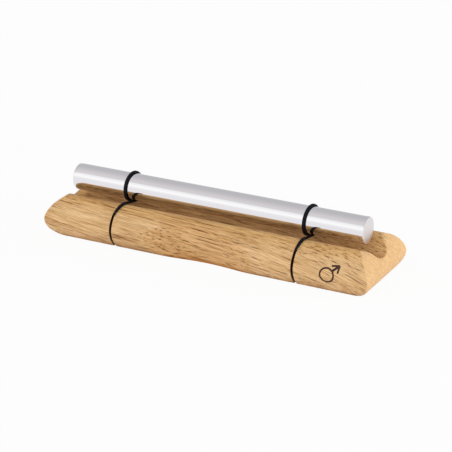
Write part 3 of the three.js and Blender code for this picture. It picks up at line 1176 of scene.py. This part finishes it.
def braid_tree(elastic):
    """Geometry nodes that raise the two ways of yarns of a braid on a tube, over and under in turn."""
    tree = bpy.data.node_groups.new("braid", "GeometryNodeTree")
    tree.interface.new_socket("Geometry", in_out="INPUT", socket_type="NodeSocketGeometry")
    for name, kind in (("Yarns Each Way", "Int"), ("Pitch", "Float"), ("Height", "Float")):
        tree.interface.new_socket(name, in_out="INPUT", socket_type=f"NodeSocket{kind}")
    tree.interface.new_socket("Geometry", in_out="OUTPUT", socket_type="NodeSocketGeometry")
    given = add_node(tree, "NodeGroupInput").outputs
    around, along = (
        add_node(tree, "GeometryNodeInputNamedAttribute", {"Name": name}, data_type="FLOAT").outputs[0]
        for name in ("around", "along")
    )
    turned = maths(tree, "DIVIDE", along, given["Pitch"])
    waves = []
    for operation in ("ADD", "SUBTRACT"):
        yarn = product(tree, maths(tree, operation, around, turned), given["Yarns Each Way"], math.pi)
        waves.append(maths(tree, "SINE", yarn))
    over = product(tree, *waves, BRAID_CHANGE)
    over = maths(tree, "MINIMUM", maths(tree, "MAXIMUM", over, -1.0), 1.0)
    share = maths(tree, "MULTIPLY_ADD", over, 0.5, 0.5)
    first = product(tree, maths(tree, "ABSOLUTE", waves[0]), share)
    second = product(tree, maths(tree, "ABSOLUTE", waves[1]), maths(tree, "SUBTRACT", 1.0, share))
    raised = maths(tree, "ADD", first, second)
    values = {"Geometry": given["Geometry"], "Name": "raised", "Value": raised}
    stored = add_node(tree, "GeometryNodeStoreNamedAttribute", values, data_type="FLOAT", domain="POINT")
    reach = product(tree, maths(tree, "SUBTRACT", raised, BRAID_LEVEL), given["Height"])
    normal = {0: add_node(tree, "GeometryNodeInputNormal").outputs[0], "Scale": reach}
    offset = add_node(tree, "ShaderNodeVectorMath", normal, operation="SCALE").outputs[0]
    moved = add_node(tree, "GeometryNodeSetPosition", {"Geometry": stored.outputs[0], "Offset": offset})
    real = add_node(tree, "GeometryNodeRealizeInstances", {0: moved.outputs[0]})
    dressed = add_node(tree, "GeometryNodeSetMaterial", {0: real.outputs[0], "Material": elastic})
    add_node(tree, "NodeGroupOutput", {0: dressed.outputs[0]})
    return tree


def apply_braid(piece, tree):
    """Runs the braid on a tube with its inputs set by name."""
    modifier = piece.modifiers.new("braid", "NODES")
    modifier.node_group = tree
    inputs = {item.name: item.identifier for item in tree.interface.items_tree if item.in_out == "INPUT"}
    modifier[inputs["Yarns Each Way"]] = YARNS_EACH_WAY
    modifier[inputs["Pitch"]] = BRAID_PITCH
    modifier[inputs["Height"]] = BRAID_HEIGHT * MM
    apply_modifiers(piece)
    piece.data.polygons.foreach_set("use_smooth", [True] * len(piece.data.polygons))


def cord_tube(name, rows, ways, braid, width_along=(1.0, 0.0, 0.0)):
    """A closed, braided tube along rows (x, y, z, half width, half thickness). Its width is kept as near
    to a direction as its run allows."""
    middle = rows[:, :3]
    run = np.gradient(middle, axis=0)
    run /= np.linalg.norm(run, axis=1)[:, None]
    wide = np.array(width_along) - (run @ np.array(width_along))[:, None] * run
    wide /= np.linalg.norm(wide, axis=1)[:, None]
    thick = np.cross(run, wide)
    turns = circle_turns(CORD_SIDES)
    points = (
        middle[:, None]
        + rows[:, 3, None, None] * np.cos(turns)[None, :, None] * wide[:, None]
        + rows[:, 4, None, None] * np.sin(turns)[None, :, None] * thick[:, None]
    ).reshape(-1, 3)
    rings = len(rows)
    faces = ring_faces(rings, CORD_SIDES)
    points = np.vstack([points, middle[0], middle[-1]])
    last = (rings - 1) * CORD_SIDES
    start, end = rings * CORD_SIDES, rings * CORD_SIDES + 1
    for j in range(CORD_SIDES):
        after = (j + 1) % CORD_SIDES
        faces.append((after, j, start))
        faces.append((last + j, last + after, end))
    piece = mesh_object(name, points, faces)
    around = np.r_[np.tile(np.arange(CORD_SIDES) / CORD_SIDES, rings), 0, 0]
    along = np.r_[np.repeat(ways, CORD_SIDES), ways[0], ways[-1]]
    for key, values in (("around", around), ("along", along)):
        piece.data.attributes.new(key, "FLOAT", "POINT").data.foreach_set("value", values)
    apply_braid(piece, braid)
    return piece


def cord_cuts(front, turns, rows, ways):
    """Where the whole cord is parted: at its ends, at the lips, and where it leaves the rod."""
    reached = path_lengths(np.array(rows)[:, :3])
    last_held = len(front) - 1
    last_turn = last_held + len(turns)
    marks = reached[[last_held, last_held + 1, last_turn, last_turn + 1]] * (ways[-1] / reached[-1])
    return [0, *(int(np.argmin(np.abs(ways - mark))) for mark in marks), len(ways) - 1]


def make_cord(side, place, drift, lip_shifts, braid):
    """One cord: held on the base in front and behind, looped round the rod, with a strand on each side
    that stretches between them."""
    front, turns, back = cord_route(place, drift, lip_shifts)
    route = [*front, *turns, *back]
    rows, ways = smooth_rows(route)
    cuts = cord_cuts(front, turns, route, ways)
    stretches = ("front_hold", "front_strand", "loop", "back_strand", "back_hold")
    pieces = {}
    for name, first, last in zip(stretches, cuts, cuts[1:]):
        span = slice(first, last + 1)
        pieces[name] = cord_tube(f"{side}_cord_{name}", rows[span], ways[span], braid)
    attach(pieces["front_hold"], "base")
    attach(pieces["back_hold"], "base")
    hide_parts(f"{side}_band")
    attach(pieces["loop"], "rod_loops")
    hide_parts(f"{side}_loop")
    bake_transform(pieces["back_strand"])
    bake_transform(pieces["front_strand"])


# The knots

# How far from the middle the cord goes into the knot, the size and the rise of the knot's three loops,
# how high it lies, half the width and thickness of its cord, and where its cut ends run.
KNOT_REACH = 1.9
KNOT_LOOP = 0.74
KNOT_RISE = 0.64
KNOT_HEIGHT = 2.0
KNOT_CORD = (0.52, 0.5)
KNOT_STEPS = 90
TAIL_ROWS = ((1.5, 0.3, 2.3), (2.1, 0.5, 2.2), (2.6, 0.9, 1.7), (2.8, 1.3, 1.1))


def make_knot(side, place, braid):
    """The overhand knot in the pocket under the base, with the cord's two cut ends."""
    turns = np.linspace(0, 2 * math.pi, KNOT_STEPS)
    loops = np.column_stack(
        [
            place + KNOT_LOOP * (np.sin(turns) + 2 * np.sin(2 * turns)),
            KNOT_LOOP * (np.cos(turns) - 2 * np.cos(2 * turns)),
            KNOT_HEIGHT - KNOT_RISE * np.sin(3 * turns),
        ]
    )
    tails = [
        [(place + way * along, way * across, up) for along, across, up in TAIL_ROWS] for way in (1, -1)
    ]
    for name, points in zip(("knot", "tail", "other_tail"), (loops, *tails)):
        rows, ways = smooth_rows([(*point, *KNOT_CORD) for point in points])
        piece = cord_tube(f"{side}_cord_{name}", rows, ways, braid, width_along=(0.0, 0.0, 1.0))
        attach(piece, "base")


# The light and the floor

PANEL_PLACE = (1.5, 0.45, 0.42)
PANEL_AIM = (0.0, 0.0, 0.02)
PANEL_SIZE = (0.8, 0.4)
PANEL_POWER = 12.0


def make_panel():
    """A soft lamp to the right, which the rod doesn't mirror."""
    data = bpy.data.lights.new("right_panel", "AREA")
    data.shape = "RECTANGLE"
    data.size, data.size_y = PANEL_SIZE
    data.energy = PANEL_POWER
    panel = add_object("right_panel", data)
    panel.location = PANEL_PLACE
    aim(panel, Vector(PANEL_AIM) - Vector(PANEL_PLACE))
    panel.visible_glossy = False


FLOOR_REACH = 3000
FLOOR_GREY = 0.88
FLOOR_WHITE_SHARE = 0.94


def make_floor():
    """A pale floor that the camera sees almost white, with the object's shadow on it."""
    material = bpy.data.materials.new("pale_floor")
    tree = empty_tree(material)
    path = add_node(tree, "ShaderNodeLightPath").outputs
    seen = maths(tree, "MAXIMUM", path["Is Camera Ray"], path["Is Glossy Ray"])
    seen = maths(tree, "MAXIMUM", seen, path["Is Transmission Ray"])
    matt = add_node(tree, "ShaderNodeBsdfDiffuse", {"Color": (FLOOR_GREY, FLOOR_GREY, FLOOR_GREY, 1)})
    bright = add_node(tree, "ShaderNodeEmission", {"Color": (1, 1, 1, 1), "Strength": 1.0})
    share = maths(tree, "MULTIPLY", seen, FLOOR_WHITE_SHARE)
    both = add_node(tree, "ShaderNodeMixShader", {0: share, 1: matt.outputs[0], 2: bright.outputs[0]})
    add_node(tree, "ShaderNodeOutputMaterial", {"Surface": both.outputs[0]})
    corners = [(FLOOR_REACH * x, FLOOR_REACH * y, 0) for x, y in ((-1, -1), (1, -1), (1, 1), (-1, 1))]
    floor = mesh_object("floor", corners, [(0, 1, 2, 3)])
    floor.data.materials.append(material)


# What stands round the object, as the rod shows it: an angle over from the front, and its light.
SURROUNDINGS = (
    (0, (0.96, 0.98, 1.0)),
    (8, (1.02, 1.04, 1.05)),
    (16, (1.13, 1.14, 1.12)),
    (22, (1.19, 1.2, 1.16)),
    (25, (1.25, 1.24, 1.21)),
    (32, (1.16, 1.17, 1.14)),
    (40, (1.09, 1.12, 1.11)),
    (48, (1.06, 1.08, 1.08)),
    (53, (0.83, 0.82, 0.82)),
    (58, (0.83, 0.81, 0.81)),
    (68, (0.81, 0.78, 0.78)),
    (80, (0.76, 0.74, 0.74)),
    (97, (0.68, 0.67, 0.68)),
    (113, (0.62, 0.62, 0.63)),
    (130, (0.6, 0.6, 0.61)),
)
# How strong the light is that the room casts on the wood, by the same angle.
ROOM_LIGHT = (
    (0, 1.32),
    (12, 1.39),
    (29, 1.39),
    (46, 1.32),
    (60, 0.95),
    (80, 0.46),
    (105, 0.4),
    (125, 0.42),
    (150, 0.5),
    (180, 0.6),
)
HALF_TURN = 180
HORIZON_EDGE = 0.06


def ringed_light(tree, share, lights):
    """The light that stands round the object, at a share of the half turn over it."""
    ramp = add_node(tree, "ShaderNodeValToRGB", {0: share})
    ramp.color_ramp.interpolation = "EASE"
    stops = ramp.color_ramp.elements
    stops.remove(stops[1])
    for i, (angle, light) in enumerate(lights):
        stop = stops[0] if i == 0 else stops.new(angle / HALF_TURN)
        stop.color = (*light, 1)
    return ramp.outputs[0]


def make_world(scene):
    """A white room to the camera, the surroundings to the rod, and the room's light to the rest."""
    world = bpy.data.worlds.new("studio")
    scene.world = world
    tree = empty_tree(world)
    parts = split(tree, add_node(tree, "ShaderNodeTexCoord").outputs["Generated"])
    over = maths(tree, "ARCTAN2", parts["Z"], maths(tree, "MULTIPLY", parts["Y"], -1.0))
    share = maths(tree, "DIVIDE", over, math.radians(HALF_TURN))
    path = add_node(tree, "ShaderNodeLightPath").outputs
    seen = maths(tree, "MAXIMUM", path["Is Camera Ray"], path["Is Transmission Ray"])
    low = ramped(tree, parts["Z"], 0.0, HORIZON_EDGE, 1.0, 0.0)
    mirrored = mixed(tree, low, ringed_light(tree, share, SURROUNDINGS), (1, 1, 1, 1))
    room = ringed_light(tree, share, [(angle, (grey, grey, grey)) for angle, grey in ROOM_LIGHT])
    cast = mixed(tree, path["Is Glossy Ray"], room, mirrored)
    shown = mixed(tree, seen, cast, (1, 1, 1, 1))
    background = add_node(tree, "ShaderNodeBackground", {"Color": shown, "Strength": 1.0})
    add_node(tree, "ShaderNodeOutputWorld", {"Surface": background.outputs[0]})


scene = open_scene()
place_camera(scene)
make_world(scene)
make_panel()
make_floor()
make_base(wood_material("oiled_wood"), burnt_material("burnt_wood"))
make_rod(metal_material("polished_metal"), turned_material("turned_metal"))
braid = braid_tree(cord_material("black_elastic"))
for side, place, drift, lip_shifts in zip(("left", "right"), KERF_PLACES, LOOP_DRIFTS, LIP_SHIFTS):
    make_cord(side, place, drift, lip_shifts, braid)
    make_knot(side, place, braid)
